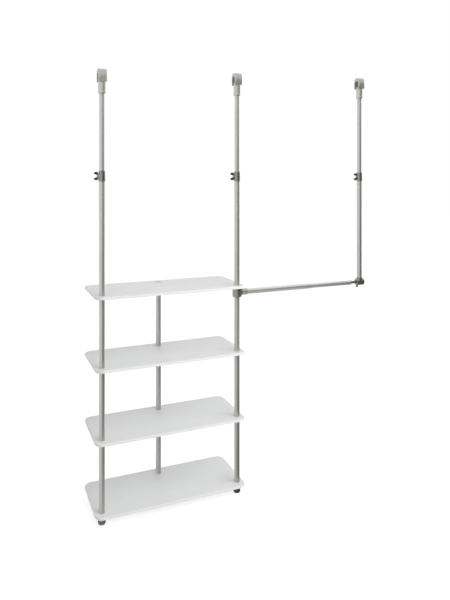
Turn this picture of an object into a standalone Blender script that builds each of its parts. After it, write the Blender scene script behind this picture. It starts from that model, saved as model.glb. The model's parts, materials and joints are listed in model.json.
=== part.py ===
"""Closet organizer: board shelves on three tube posts, with telescopic masts that clip round a closet rod.

The two front posts run on above the top shelf as masts. A telescopic hanging bar is clamped to the right
front post and ends in a third mast, which hangs from the same rod. Metres, +Z up, +X to the right, +Y to
the back. The pieces are placed from the left front post's axis and the floor, and one empty then carries
them all to the middle of the object's box.
"""

import math

import bmesh
import bpy
from mathutils import Euler, Matrix
from mathutils.geometry import convex_hull_2d

# Clearances
SEAT_GAP = 0.0003
SLIDE_GAP = 0.0004

# Shelves: boards with rounded corners, drilled for the studs that clamp them between the posts
SHELF_LENGTH = 0.706
SHELF_DEPTH = 0.315
SHELF_THICK = 0.012
SHELF_CORNER = 0.034
SHELF_EDGE = 0.0015
POST_END_INSET = 0.032
POST_FRONT_INSET = 0.044
POST_REAR_INSET = 0.045

# Posts: tubes with a threaded plug in each end, joined through the shelves by studs
TUBE_RADIUS = 0.0127
TUBE_WALL = 0.0012
POST_LENGTH = 0.300
PLUG_LENGTH = 0.014
STUD_RADIUS = 0.004
STUD_CHAMFER = 0.0007
CAP_RADIUS = 0.0145
CAP_CROWN = 0.009
CAP_HEIGHT = 0.0035

# Legs and levelling feet: each foot is a cup round its leg's lower end
LEG_LENGTH = 0.0304
FOOT_RADIUS = 0.0167
FOOT_SEAT = 0.007
FOOT_HEIGHT = 0.016
FOOT_BOWL = 0.0072
FOOT_RIM = 0.0012
STEM_END_GAP = 0.0022

# Masts: an inner tube slides in an outer one, and the inner one carries a rod clip
MAST_TUBE_LENGTH = 0.512
INNER_WALL = 0.0010
INNER_LENGTH = 0.600
MAST_INSERT = {"left": 0.189, "right": 0.161, "hanger": 0.135}
BUSH_PLUG = 0.016
BUSH_FLANGE = 0.005
BUSH_WALL = 0.004

# Lock collars, each with a wing screw that bears on the inner tube
COLLAR_WALL = 0.0017
COLLAR_GRIP = 0.018
COLLAR_HEAD = 0.028
COLLAR_CHAMFER = 0.0012
SCREW_RISE = 0.002
SCREW_RADIUS = 0.003
BOSS_RADIUS = 0.0072
BOSS_PROUD = 0.001
WING_HUB_RADIUS = 0.0052
WING_HUB_CROWN = 0.0042
WING_HUB_LENGTH = 0.006
WING_SPAN = 0.0356
WING_REACH = 0.012
WING_LOBE = 0.0055
WING_THICK = 0.003

# Rod clips: a clip over the rod snaps on to a socket on the inner tube
ROD_RADIUS = 0.016
ROD_RISE = 0.017
CLIP_WALL = 0.0062
CLIP_WIDTH = 0.040
CLIP_DRAFT = 0.91
CLIP_CORNER = 0.008
CLIP_SKIRT = 0.0235
CLIP_FOOT = 0.002
CROWN_RISE = 0.032
CROWN_FLAT = 0.018
BEAD = 0.0012
BLOCK_WIDTH = 0.033
BLOCK_CORNER = 0.004
SOCKET_WALL = 0.0044
SOCKET_HEIGHT = 0.055
SOCKET_TOP = 0.007
SOCKET_FLARE = 0.0006
SOCKET_BAND = 0.004

# Hanging bar: a clamp on the right front post, two telescopic tubes, a pin and a tee
BAR_TUBE_LENGTH = 0.392
BAR_INNER_LENGTH = 0.368
BAR_INSERT = 0.130
CLAMP_WALL = 0.0085
CLAMP_HEIGHT = 0.044
CLAMP_CHAMFER = 0.002
CLAMP_WEB = 0.005
SHOULDER_RADIUS = 0.018
SHOULDER_END = 0.0225
SLEEVE_WALL = 0.0022
CLAMP_SOCKET = 0.034
CLAMP_SCREW_MARGIN = 0.0048
PIN_RADIUS = 0.0065
PIN_NECK = 0.034
PIN_FLANGE = 0.003
PIN_PLUG = 0.025
PIN_DEPTH = 0.018
TEE_RADIUS = 0.017
TEE_LENGTH = 0.043
TEE_CHAMFER = 0.0015
TEE_WEB = 0.002
TEE_NECK = 0.0135
TEE_SCREW_INSET = 0.006
THUMB_RADIUS = 0.0052
THUMB_LENGTH = 0.010
THUMB_FLUTES = 10
THUMB_FLUTE_DEPTH = 0.0005

# Facets round a tube, a screw and a small fillet
TUBE_STEPS = 20
SCREW_STEPS = 10
STUD_STEPS = 8
ARC_STEPS = 6
CLIP_STEPS = 10
CROWN_STEPS = 6
CORNER_STEPS = 4
BOWL_STEPS = 3
BUSH_STEPS = 10
LOBE_STEPS = 16
WELD = 0.00001

# Radii that follow from the sizes above
tube_bore = TUBE_RADIUS - TUBE_WALL
inner_radius = tube_bore - SLIDE_GAP
inner_bore = inner_radius - INNER_WALL
stud_hole = STUD_RADIUS + SEAT_GAP
screw_hole = SCREW_RADIUS + SEAT_GAP
tube_fit = TUBE_RADIUS + SEAT_GAP
inner_fit = inner_radius + SEAT_GAP
collar_radius = tube_fit + COLLAR_WALL
clamp_radius = tube_fit + CLAMP_WALL
socket_radius = inner_fit + SOCKET_WALL
sleeve_radius = tube_fit + SLEEVE_WALL

# Places in plan, from the left front post
front_span = SHELF_LENGTH - 2 * POST_END_INSET
rear_depth = SHELF_DEPTH - POST_FRONT_INSET - POST_REAR_INSET
bar_seat = tube_fit + CLAMP_WEB
bar_start = front_span + bar_seat + SEAT_GAP
bar_inner_start = bar_start + BAR_TUBE_LENGTH - BAR_INSERT
pin_seat = bar_inner_start + BAR_INNER_LENGTH + SEAT_GAP + PIN_FLANGE
hanger_x = pin_seat + PIN_NECK + TEE_LENGTH / 2
posts = {"left": (0.0, 0.0), "right": (front_span, 0.0), "rear": (front_span / 2, rear_depth)}
masts = {"left": 0.0, "right": front_span, "hanger": hanger_x}
wing_base = collar_radius + BOSS_PROUD + SEAT_GAP
wing_tip = wing_base + WING_HUB_LENGTH + WING_REACH
box_left = -max(POST_END_INSET, wing_tip)
box_right = hanger_x + max(TEE_LENGTH, CLIP_WIDTH) / 2
box_back = rear_depth + POST_REAR_INSET

# Levels above the floor
leg_bottom = FOOT_SEAT + SEAT_GAP
first_shelf = leg_bottom + LEG_LENGTH + SEAT_GAP
shelf_pitch = SHELF_THICK + POST_LENGTH + 2 * SEAT_GAP
shelf_names = ("bottom", "lower", "upper", "top")
shelf_level = {name: first_shelf + i * shelf_pitch for i, name in enumerate(shelf_names)}
mast_bottom = shelf_level["top"] + SHELF_THICK + SEAT_GAP
mast_top = mast_bottom + MAST_TUBE_LENGTH
screw_level = mast_top + SCREW_RADIUS + SCREW_RISE
bar_level = shelf_level["top"] - SEAT_GAP - CLAMP_HEIGHT / 2
hanger_seat = bar_level + PIN_RADIUS + SEAT_GAP + TEE_WEB

for leftover in list(bpy.data.objects):
    bpy.data.objects.remove(leftover, do_unlink=True)
parts = bpy.data.collections.new("closet_organizer")
helpers = bpy.data.collections.new("cutters")
for collection in (parts, helpers):
    bpy.context.scene.collection.children.link(collection)
middle = bpy.data.objects.new("floor_middle", None)
middle.location = (-(box_left + box_right) / 2, -(box_back - POST_FRONT_INSET) / 2, 0)
parts.objects.link(middle)


def finish(name, colour, roughness, metallic):
    """A plain surface finish; the colour is linear."""
    material = bpy.data.materials.new(name)
    material.use_nodes = True
    surface = material.node_tree.nodes["Principled BSDF"]
    surface.inputs["Base Color"].default_value = (*colour, 1)
    surface.inputs["Roughness"].default_value = roughness
    surface.inputs["Metallic"].default_value = metallic
    return material


white_laminate = finish("white_laminate", (0.80, 0.80, 0.79), 0.45, 0.0)
satin_nickel = finish("satin_nickel", (0.56, 0.55, 0.52), 0.32, 1.0)
plated_fitting = finish("plated_fitting", (0.42, 0.41, 0.39), 0.35, 1.0)
dark_screw = finish("dark_screw", (0.16, 0.16, 0.15), 0.40, 1.0)
zinc_steel = finish("zinc_steel", (0.50, 0.51, 0.52), 0.38, 1.0)
grey_nylon = finish("grey_nylon", (0.30, 0.30, 0.30), 0.55, 0.0)


def helper(mesh):
    """A wire object that only shapes a piece."""
    obj = bpy.data.objects.new("helper", mesh)
    obj.hide_render = True
    obj.display_type = "WIRE"
    helpers.objects.link(obj)
    return obj


def made(obj, *used):
    """The mesh that the helper's modifiers or curve give, welded. The helpers are then removed."""
    bpy.context.view_layer.update()
    graph = bpy.context.evaluated_depsgraph_get()
    mesh = bpy.data.meshes.new_from_object(obj.evaluated_get(graph))
    for spent in (obj, *used):
        bpy.data.objects.remove(spent, do_unlink=True)
    welded = bmesh.new()
    welded.from_mesh(mesh)
    bmesh.ops.remove_doubles(welded, verts=welded.verts, dist=WELD)
    bmesh.ops.dissolve_limit(welded, angle_limit=0.001, verts=welded.verts, edges=welded.edges)
    welded.to_mesh(mesh)
    welded.free()
    return mesh


def turned(profile, steps=TUBE_STEPS):
    """A solid of revolution about Z. The (radius, height) points run down the outer side.

    A profile that starts off the axis closes on itself and leaves a bore.
    """
    mesh = bpy.data.meshes.new("profile")
    edges = [(i, i + 1) for i in range(len(profile) - 1)]
    if profile[0][0] > 0:
        edges.append((len(profile) - 1, 0))
    mesh.from_pydata([(radius, 0, height) for radius, height in profile], edges, [])
    obj = helper(mesh)
    screw = obj.modifiers.new("turn", "SCREW")
    screw.steps = steps
    screw.render_steps = steps
    screw.use_merge_vertices = True
    screw.merge_threshold = WELD
    return made(obj)


def rod(radius, low, high, steps=TUBE_STEPS):
    """A plain cylinder about Z."""
    return turned([(0, high), (radius, high), (radius, low), (0, low)], steps)


def tube(outer, inner, length):
    """An open tube that stands on the origin."""
    return turned([(outer, length), (outer, 0), (inner, 0), (inner, length)])


def arc(centre, radius, start, end, steps=ARC_STEPS):
    """Points along an arc, from one angle to another."""
    angles = [start + (end - start) * i / steps for i in range(steps + 1)]
    return [(centre[0] + radius * math.cos(a), centre[1] + radius * math.sin(a)) for a in angles]


def rounded_board(length, depth, corner, steps=ARC_STEPS):
    """The outline of a rectangle with rounded corners."""
    outline = []
    for i, (side_x, side_y) in enumerate(((1, 1), (-1, 1), (-1, -1), (1, -1))):
        turn_centre = (side_x * (length / 2 - corner), side_y * (depth / 2 - corner))
        outline += arc(turn_centre, corner, i * math.pi / 2, (i + 1) * math.pi / 2, steps)
    return outline


def plate(outline, thickness, edge=0.0, segments=1):
    """A flat outline in XY, given its thickness about z = 0 and, if asked, broken or rounded edges."""
    curve = bpy.data.curves.new("outline", "CURVE")
    curve.dimensions = "2D"
    curve.fill_mode = "BOTH"
    curve.extrude = thickness / 2
    spline = curve.splines.new("POLY")
    spline.points.add(len(outline) - 1)
    for point, (x, y) in zip(spline.points, outline):
        point.co = (x, y, 0, 1)
    spline.use_cyclic_u = True
    mesh = made(helper(curve))
    if not edge:
        return mesh
    obj = helper(mesh)
    bevel = obj.modifiers.new("edges", "BEVEL")
    bevel.width = edge
    bevel.segments = segments
    bevel.limit_method = "ANGLE"
    bevel.angle_limit = math.radians(60)
    return made(obj)


def shaped(base, *steps):
    """The base mesh after Booleans, each an (operation, mesh, matrix) in the base's own frame."""
    obj = helper(base)
    tools = []
    for operation, mesh, matrix in steps:
        tool = helper(mesh)
        tool.matrix_world = matrix
        boolean = obj.modifiers.new(operation.lower(), "BOOLEAN")
        boolean.operation = operation
        boolean.object = tool
        tools.append(tool)
    return made(obj, *tools)


def at(x=0.0, y=0.0, z=0.0, turn=(0.0, 0.0, 0.0)):
    """A place and a turn in degrees about X, Y and Z."""
    angles = Euler([math.radians(a) for a in turn])
    return Matrix.Translation((x, y, z)) @ angles.to_matrix().to_4x4()


def add(name, mesh, material, place):
    """A finished piece, shaded smooth, on the middle empty."""
    mesh.materials.clear()
    mesh.materials.append(material)
    mesh.shade_smooth()
    mesh.set_sharp_from_angle(angle=math.radians(35))
    obj = bpy.data.objects.new(name, mesh)
    obj.parent = middle
    obj.matrix_local = place
    parts.objects.link(obj)


ALONG_X = (0, 90, 0)
TO_LEFT = (0, -90, 0)
TO_FRONT = (90, 0, 0)
DOWN = (180, 0, 0)
SIDE_ON = (90, 0, 90)

# Shelves
board_outline = rounded_board(SHELF_LENGTH, SHELF_DEPTH, SHELF_CORNER)
board_x = front_span / 2
board_y = SHELF_DEPTH / 2 - POST_FRONT_INSET
drill = rod(stud_hole, -SHELF_THICK, SHELF_THICK, SCREW_STEPS)
drilled = [("DIFFERENCE", drill, at(x - board_x, y - board_y)) for x, y in posts.values()]
shelf = shaped(plate(board_outline, SHELF_THICK, SHELF_EDGE, 2), *drilled)
for name, level in shelf_level.items():
    add(f"shelf_{name}", shelf, white_laminate, at(board_x, board_y, level + SHELF_THICK / 2))

# Posts, with the legs, feet and studs on their axes
post_tube = turned(
    [
        (TUBE_RADIUS, POST_LENGTH),
        (TUBE_RADIUS, 0),
        (stud_hole, 0),
        (stud_hole, PLUG_LENGTH),
        (tube_bore, PLUG_LENGTH),
        (tube_bore, POST_LENGTH - PLUG_LENGTH),
        (stud_hole, POST_LENGTH - PLUG_LENGTH),
        (stud_hole, POST_LENGTH),
    ]
)
leg = tube(TUBE_RADIUS, stud_hole, LEG_LENGTH)
stud_reach = SHELF_THICK / 2 + PLUG_LENGTH
stud_neck = STUD_RADIUS - STUD_CHAMFER
stud = turned(
    [
        (0, stud_reach),
        (stud_neck, stud_reach),
        (STUD_RADIUS, stud_reach - STUD_CHAMFER),
        (STUD_RADIUS, STUD_CHAMFER - stud_reach),
        (stud_neck, -stud_reach),
        (0, -stud_reach),
    ],
    STUD_STEPS,
)
foot_top = leg_bottom + LEG_LENGTH - PLUG_LENGTH - STEM_END_GAP
cup_bore = TUBE_RADIUS + SLIDE_GAP
foot_profile = [
    (0, foot_top),
    (stud_neck, foot_top),
    (STUD_RADIUS, foot_top - STUD_CHAMFER),
    (STUD_RADIUS, FOOT_SEAT),
    (cup_bore, FOOT_SEAT),
    (cup_bore, FOOT_HEIGHT),
    (FOOT_RADIUS - FOOT_RIM, FOOT_HEIGHT),
    (FOOT_RADIUS, FOOT_HEIGHT - FOOT_RIM),
]
foot_profile += arc((FOOT_RADIUS - FOOT_BOWL, FOOT_BOWL), FOOT_BOWL, 0, -math.pi / 2, BOWL_STEPS)
foot_profile.append((0, 0))
foot = turned(foot_profile)
for name, (x, y) in posts.items():
    add(f"foot_{name}", foot, dark_screw, at(x, y))
    add(f"leg_{name}", leg, satin_nickel, at(x, y, leg_bottom))
    for floor_name, length_name in zip(shelf_names, ("low", "mid", "high")):
        tube_level = shelf_level[floor_name] + SHELF_THICK + SEAT_GAP
        add(f"post_{name}_{length_name}", post_tube, satin_nickel, at(x, y, tube_level))
    for floor_name in shelf_names:
        if (name, floor_name) != ("rear", "top"):
            stud_level = shelf_level[floor_name] + SHELF_THICK / 2
            add(f"stud_{name}_{floor_name}", stud, zinc_steel, at(x, y, stud_level))

# Cap screw that closes the rear post on the top shelf
cap_shank = SHELF_THICK + PLUG_LENGTH
cap_screw = turned(
    [
        (0, SEAT_GAP + CAP_HEIGHT),
        (CAP_CROWN, SEAT_GAP + CAP_HEIGHT),
        (CAP_RADIUS, SEAT_GAP + CAP_HEIGHT / 2),
        (CAP_RADIUS, SEAT_GAP),
        (STUD_RADIUS, SEAT_GAP),
        (STUD_RADIUS, -cap_shank),
        (0, -cap_shank),
    ]
)
cap_level = shelf_level["top"] + SHELF_THICK
add("cap_screw_rear", cap_screw, satin_nickel, at(*posts["rear"], cap_level))

# Outer mast tubes: the two on the shelves have a threaded plug at the foot, the hanger's is open
mast_tube = turned(
    [
        (TUBE_RADIUS, MAST_TUBE_LENGTH),
        (TUBE_RADIUS, 0),
        (stud_hole, 0),
        (stud_hole, PLUG_LENGTH),
        (tube_bore, PLUG_LENGTH),
        (tube_bore, MAST_TUBE_LENGTH),
    ]
)
for name in ("left", "right"):
    add(f"mast_tube_{name}", mast_tube, satin_nickel, at(masts[name], 0, mast_bottom))
hanger_bottom = hanger_seat + SEAT_GAP
hanger_tube = tube(TUBE_RADIUS, tube_bore, mast_top - hanger_bottom)
add("mast_tube_hanger", hanger_tube, satin_nickel, at(hanger_x, 0, hanger_bottom))

# Lock collar: stepped sleeve over the outer tube's end, with a boss for the wing screw
collar_body = turned(
    [
        (0, COLLAR_HEAD),
        (collar_radius - COLLAR_CHAMFER, COLLAR_HEAD),
        (collar_radius, COLLAR_HEAD - COLLAR_CHAMFER),
        (collar_radius, COLLAR_CHAMFER - COLLAR_GRIP),
        (collar_radius - COLLAR_CHAMFER, -COLLAR_GRIP),
        (0, -COLLAR_GRIP),
    ]
)
collar_bore = turned(
    [
        (0, 2 * COLLAR_HEAD),
        (inner_fit, 2 * COLLAR_HEAD),
        (inner_fit, SEAT_GAP),
        (tube_fit, SEAT_GAP),
        (tube_fit, -2 * COLLAR_GRIP),
        (0, -2 * COLLAR_GRIP),
    ]
)
screw_rise = screw_level - mast_top
to_screw = at(0, 0, screw_rise, TO_LEFT)
collar = shaped(
    collar_body,
    ("UNION", rod(BOSS_RADIUS, 0, collar_radius + BOSS_PROUD, SCREW_STEPS), to_screw),
    ("DIFFERENCE", collar_bore, at()),
    ("DIFFERENCE", rod(screw_hole, 0, 2 * collar_radius, SCREW_STEPS), to_screw),
)

# Wing screw: shank, hub and two wings, each a web along the collar and a lobe that stands out from it
lobe_x = WING_SPAN / 2 - WING_LOBE
root = (0, wing_base + WING_HUB_LENGTH / 2, WING_HUB_LENGTH / 2)
lobe_base = (lobe_x, wing_base + WING_LOBE, WING_LOBE)
lobe_tip = (lobe_x, wing_tip - WING_LOBE, WING_LOBE)


def link(*circles):
    """A plate as thick as the wings, drawn tight round some (x, z, radius) circles."""
    points = []
    for x, z, radius in circles:
        points += arc((x, z), radius, 0, 2 * math.pi, LOBE_STEPS)
    return plate([points[i] for i in convex_hull_2d(points)], WING_THICK)


wing = shaped(link(root, lobe_base), ("UNION", link(lobe_base, lobe_tip), at()))
screw_tip = inner_radius + SLIDE_GAP
hub = turned(
    [
        (0, wing_base + WING_HUB_LENGTH),
        (WING_HUB_CROWN, wing_base + WING_HUB_LENGTH),
        (WING_HUB_RADIUS, wing_base),
        (SCREW_RADIUS, wing_base),
        (SCREW_RADIUS, screw_tip),
        (0, screw_tip),
    ],
    SCREW_STEPS,
)
wing_screw = shaped(
    hub,
    ("UNION", wing, at(turn=TO_FRONT)),
    ("UNION", wing, at(turn=(90, 0, 180))),
)

# Guide bush: flange under the inner tube, plug inside it
bush_plug = inner_bore - SEAT_GAP
bush_bore = bush_plug - BUSH_WALL
bush = turned(
    [
        (bush_plug, BUSH_PLUG),
        (bush_plug, -SEAT_GAP),
        (inner_radius, -SEAT_GAP),
        (inner_radius, -SEAT_GAP - BUSH_FLANGE),
        (bush_bore, -SEAT_GAP - BUSH_FLANGE),
        (bush_bore, BUSH_PLUG),
    ],
    BUSH_STEPS,
)

# Rod clip, in side view from its socket's lower end: a crown over the rod and two legs that end in beads,
# cut to a blank that has rounded corners and draft
rod_level = SOCKET_HEIGHT + ROD_RISE
clip_bore = ROD_RADIUS + SEAT_GAP
clip_depth = clip_bore + CLIP_WALL
clip_bottom = rod_level - CLIP_SKIRT
bead_level = clip_bottom + 2 * BEAD
crown_turn = math.acos(CROWN_FLAT / 2 / clip_depth)
crown_reach = CROWN_RISE / math.sin(crown_turn)
right_side = [(clip_bore + CLIP_FOOT, clip_bottom)]
for across, up in arc((0, 0), 1, 0, crown_turn, CROWN_STEPS):
    right_side.append((clip_depth * across, rod_level + crown_reach * up))
bead_side = [(clip_bore, clip_bottom), (clip_bore - BEAD, clip_bottom + BEAD)]
bead_side += [(clip_bore - BEAD, bead_level), (clip_bore, bead_level + BEAD)]
clip_outline = right_side + [(-x, z) for x, z in reversed(right_side)]
clip_outline += [(-x, z) for x, z in bead_side]
clip_outline += arc((0, rod_level), clip_bore, math.pi, 0, CLIP_STEPS)
clip_outline += reversed(bead_side)
clip_blank = plate(rounded_board(CLIP_WIDTH, 2 * clip_depth, CLIP_CORNER, CORNER_STEPS), 3 * CROWN_RISE)
for vertex in clip_blank.vertices:
    vertex.co.x *= CLIP_DRAFT if vertex.co.z > 0 else 1
clip_profile = plate(clip_outline, 2 * CLIP_WIDTH)
clip = shaped(clip_blank, ("INTERSECT", clip_profile, at(z=-rod_level, turn=SIDE_ON)))
clip.transform(at(z=rod_level))

# Its socket: a cup for the inner tube, a neck for the clip's beads, and a block between the clip's legs
block_top = rod_level - clip_bore
block_bottom = bead_level + BEAD + SEAT_GAP
block_depth = 2 * (clip_bore - SEAT_GAP)
block_middle = (block_top + block_bottom) / 2
neck_radius = clip_bore - BEAD - SLIDE_GAP
shoulder_level = clip_bottom - SEAT_GAP
flare_radius = socket_radius + SOCKET_FLARE
socket_body = turned(
    [
        (0, block_middle),
        (neck_radius, block_middle),
        (neck_radius, shoulder_level),
        (socket_radius, shoulder_level),
        (socket_radius, 2 * SOCKET_BAND),
        (flare_radius, SOCKET_BAND),
        (flare_radius, 0),
        (0, 0),
    ]
)
block_outline = rounded_board(BLOCK_WIDTH, block_depth, BLOCK_CORNER, CORNER_STEPS)
block = plate(block_outline, block_top - block_bottom)
socket = shaped(
    socket_body,
    ("UNION", block, at(z=block_middle)),
    ("DIFFERENCE", rod(inner_fit, -SOCKET_HEIGHT, SOCKET_HEIGHT - SOCKET_TOP), at()),
)

# The moving pieces of the three masts
inner_tube = tube(inner_radius, inner_bore, INNER_LENGTH)
for name, x in masts.items():
    inner_level = mast_top - MAST_INSERT[name]
    socket_level = inner_level + INNER_LENGTH + SEAT_GAP + SOCKET_TOP - SOCKET_HEIGHT
    add(f"collar_{name}", collar, plated_fitting, at(x, 0, mast_top))
    add(f"wing_screw_{name}", wing_screw, dark_screw, at(x, 0, screw_level, TO_LEFT))
    add(f"inner_tube_{name}", inner_tube, satin_nickel, at(x, 0, inner_level))
    add(f"guide_bush_{name}", bush, grey_nylon, at(x, 0, inner_level))
    add(f"rod_socket_{name}", socket, plated_fitting, at(x, 0, socket_level))
    add(f"rod_clip_{name}", clip, plated_fitting, at(x, 0, socket_level))


def thumb_screw(start, base):
    """A screw about Z with a fluted head; its shank runs from start to base."""
    outline = []
    for i in range(2 * THUMB_FLUTES):
        radius = THUMB_RADIUS - THUMB_FLUTE_DEPTH * (i % 2)
        outline += arc((0, 0), radius, math.pi * i / THUMB_FLUTES, math.pi * i / THUMB_FLUTES, 1)[:1]
    head = plate(outline, THUMB_LENGTH)
    shank = rod(SCREW_RADIUS, start, base + THUMB_LENGTH / 2, SCREW_STEPS)
    return shaped(shank, ("UNION", head, at(z=base + THUMB_LENGTH / 2)))


# Bar clamp: ring round the right front post with a shoulder and a socket for the bar
half_clamp = CLAMP_HEIGHT / 2
clamp_screw_rise = half_clamp - THUMB_RADIUS - CLAMP_SCREW_MARGIN
clamp_end = bar_seat + CLAMP_SOCKET
ring = turned(
    [
        (0, half_clamp),
        (clamp_radius - CLAMP_CHAMFER, half_clamp),
        (clamp_radius, half_clamp - CLAMP_CHAMFER),
        (clamp_radius, CLAMP_CHAMFER - half_clamp),
        (clamp_radius - CLAMP_CHAMFER, -half_clamp),
        (0, -half_clamp),
    ]
)
screw_place = at(z=clamp_screw_rise, turn=TO_FRONT)
clamp = shaped(
    ring,
    ("UNION", rod(SHOULDER_RADIUS, 0, SHOULDER_END), at(turn=ALONG_X)),
    ("UNION", rod(sleeve_radius, 0, clamp_end), at(turn=ALONG_X)),
    ("DIFFERENCE", rod(tube_fit, -CLAMP_HEIGHT, CLAMP_HEIGHT), at()),
    ("DIFFERENCE", rod(tube_fit, bar_seat, 2 * clamp_end), at(turn=ALONG_X)),
    ("DIFFERENCE", rod(screw_hole, 0, 2 * clamp_radius, SCREW_STEPS), screw_place),
)
add("bar_clamp", clamp, plated_fitting, at(front_span, 0, bar_level))
clamp_screw = thumb_screw(TUBE_RADIUS + SLIDE_GAP, clamp_radius + SEAT_GAP)
clamp_screw_place = at(front_span, 0, bar_level + clamp_screw_rise, TO_FRONT)
add("clamp_screw", clamp_screw, dark_screw, clamp_screw_place)

# Bar tubes
bar_tube = tube(TUBE_RADIUS, tube_bore, BAR_TUBE_LENGTH)
add("bar_tube", bar_tube, satin_nickel, at(bar_start, 0, bar_level, ALONG_X))
bar_inner = tube(inner_radius, inner_bore, BAR_INNER_LENGTH)
add("bar_inner_tube", bar_inner, satin_nickel, at(bar_inner_start, 0, bar_level, ALONG_X))
add("bar_bush", bush, grey_nylon, at(bar_inner_start, 0, bar_level, ALONG_X))

# Bar end pin: plug in the inner bar tube, flange, and a neck that enters the tee
pin_end = PIN_NECK + PIN_DEPTH - SEAT_GAP
end_pin = turned(
    [
        (0, pin_end),
        (PIN_RADIUS, pin_end),
        (PIN_RADIUS, 0),
        (inner_radius, 0),
        (inner_radius, -PIN_FLANGE),
        (bush_plug, -PIN_FLANGE),
        (bush_plug, -PIN_FLANGE - PIN_PLUG),
        (0, -PIN_FLANGE - PIN_PLUG),
    ]
)
add("bar_end_pin", end_pin, plated_fitting, at(pin_seat, 0, bar_level, ALONG_X))

# Tee: closed sleeve along the bar with a neck up to the hanger's tube
half_tee = TEE_LENGTH / 2
neck_seat = hanger_seat - bar_level
sleeve = turned(
    [
        (0, half_tee),
        (TEE_RADIUS - TEE_CHAMFER, half_tee),
        (TEE_RADIUS, half_tee - TEE_CHAMFER),
        (TEE_RADIUS, TEE_CHAMFER - half_tee),
        (TEE_RADIUS - TEE_CHAMFER, -half_tee),
        (0, -half_tee),
    ]
)
neck_top = neck_seat + TEE_NECK
tee_screw_x = TEE_SCREW_INSET - half_tee
tee = shaped(
    sleeve,
    ("UNION", rod(sleeve_radius, 0, neck_top), at(turn=TO_LEFT)),
    ("DIFFERENCE", rod(tube_fit, neck_seat, 2 * neck_top), at(turn=TO_LEFT)),
    ("DIFFERENCE", rod(PIN_RADIUS + SEAT_GAP, -TEE_LENGTH, PIN_DEPTH - half_tee), at()),
    (
        "DIFFERENCE",
        rod(screw_hole, 0, 2 * TEE_RADIUS, SCREW_STEPS),
        at(z=tee_screw_x, turn=ALONG_X),
    ),
)
tee.transform(at(turn=ALONG_X))
add("tee", tee, plated_fitting, at(hanger_x, 0, bar_level))
tee_screw = thumb_screw(PIN_RADIUS + SLIDE_GAP, TEE_RADIUS + SEAT_GAP)
tee_screw_place = at(hanger_x + tee_screw_x, 0, bar_level, DOWN)
add("tee_screw", tee_screw, dark_screw, tee_screw_place)
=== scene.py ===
"""Looks of the closet organizer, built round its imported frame.

Metres, +Z up, +X to the right and +Y to the back, as in the frame. The sections follow the object as it
is put together, from the feet up to the rod clips and out along the hanging bar.
"""

import json
import math

import bmesh
import bpy
from mathutils import Euler, Matrix, Vector
from mathutils.geometry import convex_hull_2d

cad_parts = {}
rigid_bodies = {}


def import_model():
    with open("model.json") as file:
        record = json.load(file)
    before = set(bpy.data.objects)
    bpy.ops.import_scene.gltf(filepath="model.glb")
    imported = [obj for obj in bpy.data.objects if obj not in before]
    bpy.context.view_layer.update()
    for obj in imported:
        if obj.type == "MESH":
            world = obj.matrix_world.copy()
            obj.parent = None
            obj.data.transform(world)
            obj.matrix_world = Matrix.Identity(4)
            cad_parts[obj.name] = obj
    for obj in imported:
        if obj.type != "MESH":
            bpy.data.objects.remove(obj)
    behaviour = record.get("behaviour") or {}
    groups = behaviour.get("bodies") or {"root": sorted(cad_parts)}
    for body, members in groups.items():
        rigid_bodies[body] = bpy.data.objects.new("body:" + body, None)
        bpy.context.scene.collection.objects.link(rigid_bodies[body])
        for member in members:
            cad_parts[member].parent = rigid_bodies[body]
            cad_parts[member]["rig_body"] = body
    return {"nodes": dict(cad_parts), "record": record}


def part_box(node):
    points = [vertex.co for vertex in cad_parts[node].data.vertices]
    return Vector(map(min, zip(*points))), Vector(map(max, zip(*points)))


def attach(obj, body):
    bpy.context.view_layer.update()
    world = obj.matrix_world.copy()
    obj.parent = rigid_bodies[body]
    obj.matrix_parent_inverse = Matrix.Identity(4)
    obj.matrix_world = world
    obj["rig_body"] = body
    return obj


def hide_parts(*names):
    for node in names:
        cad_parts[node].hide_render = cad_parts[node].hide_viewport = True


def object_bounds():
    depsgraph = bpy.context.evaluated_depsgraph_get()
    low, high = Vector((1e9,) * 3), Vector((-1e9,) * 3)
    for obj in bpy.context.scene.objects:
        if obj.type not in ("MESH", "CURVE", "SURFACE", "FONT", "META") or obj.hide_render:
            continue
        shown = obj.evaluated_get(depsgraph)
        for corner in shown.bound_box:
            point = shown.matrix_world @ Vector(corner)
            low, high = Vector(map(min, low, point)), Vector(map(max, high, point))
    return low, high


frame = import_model()
cad_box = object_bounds()

# Levelling feet: turned steel cups, black-nickel plated, that stand round the lower end of each leg. A stem
# with a rolled thread rises from the cup's floor and screws into the leg.
MM = 0.001
STEM_RADIUS = 4.0 * MM
STEM_CHAMFER = 0.8 * MM
THREAD_PITCH = 1.25 * MM
THREAD_DEPTH = 0.6 * MM
THREAD_ROWS = 8
FOOT_SEAT = 7.0 * MM
FOOT_HEIGHT = 16.0 * MM
FOOT_BOWL = 7.2 * MM
FOOT_RIM = 1.2 * MM
CUP_FILLET = 0.5 * MM
SLIDE_GAP = 0.4 * MM
SIDES = 64
ARC_STEPS = 6
WELD = 0.001 * MM
CREASE = math.radians(38)
ORIGIN = (0, 0, 0)
ALONG_Z = (0, 0, 0)

# Nodes of finishes: how metallic they are, how finely their patterns break up, and the sockets by which a
# Mix node blends colours
METAL = 1.0
NOT_METAL = 0.0
EVEN = 2.0
CLOUDY = 3.0
MIX_SHARE = 0
MIX_FIRST = 6
MIX_SECOND = 7
MIX_RESULT = 2


def linear(colour):
    """A linear colour, with alpha, from an sRGB hex value, by the curve that the standard gives."""
    shares = [int(colour[i : i + 2], 16) / 255 for i in (1, 3, 5)]
    return (*[s / 12.92 if s < 0.04045 else ((s + 0.055) / 1.055) ** 2.4 for s in shares], 1)


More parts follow.
